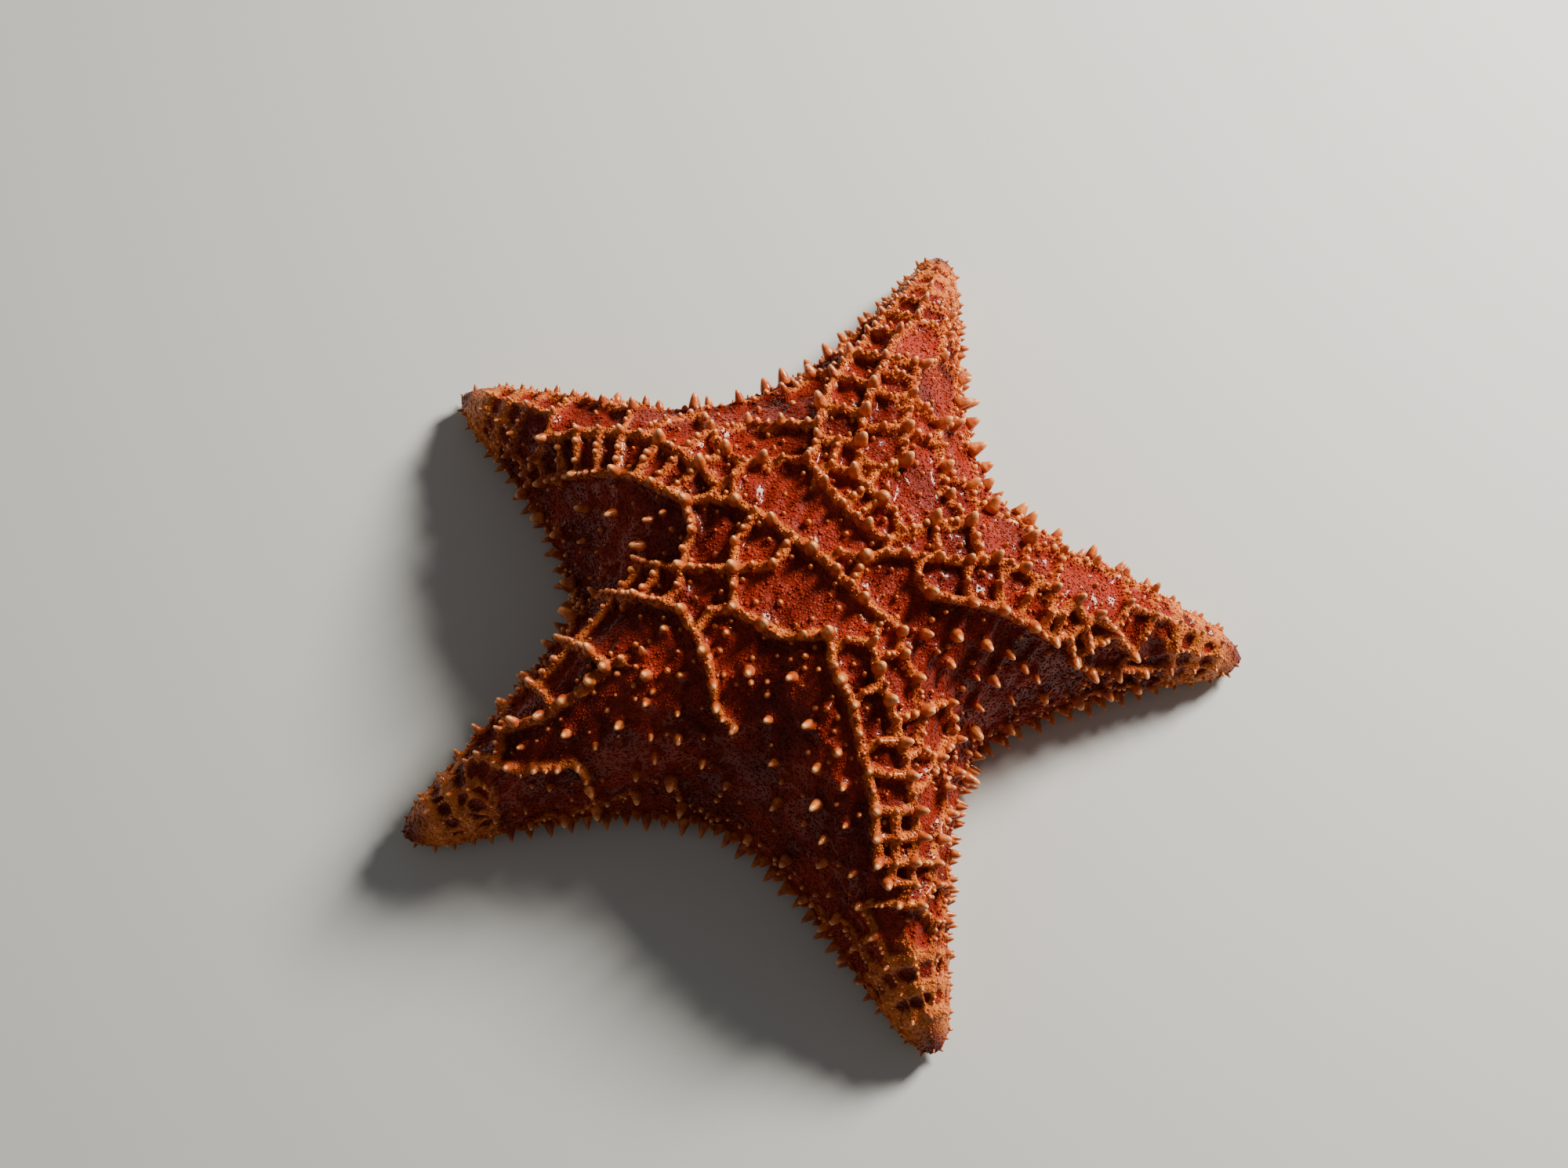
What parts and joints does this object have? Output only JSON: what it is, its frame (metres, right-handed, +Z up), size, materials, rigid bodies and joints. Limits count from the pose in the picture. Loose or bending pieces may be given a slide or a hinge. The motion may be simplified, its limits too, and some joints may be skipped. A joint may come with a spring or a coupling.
{
  "type": "cushion sea star",
  "caption": "Still life-size model of a cushion sea star with a high disc, blunt arms and a network of knobbed ridges.",
  "frame": {"origin": "middle of the rectangle that the star covers on the floor, at floor level", "axes": "+Z up out of the back of the disc, +X close to the arm called right, +Y towards the arm called upper"},
  "size_m": [0.2579, 0.2575, 0.0672],
  "materials": {
    "disc_skin": "wet, fine grained",
    "arm_right_skin": "wet, fine grained",
    "arm_upper_skin": "wet, fine grained",
    "arm_left_skin": "wet, fine grained",
    "arm_lower_left_skin": "wet, fine grained",
    "arm_lower_right_skin": "wet, fine grained"
  },
  "bodies": {
    "root": {"disc": "disc_skin", "arm_right": "arm_right_skin", "arm_upper": "arm_upper_skin", "arm_left": "arm_left_skin", "arm_lower_left": "arm_lower_left_skin", "arm_lower_right": "arm_lower_right_skin"}
  },
  "joints": []
}
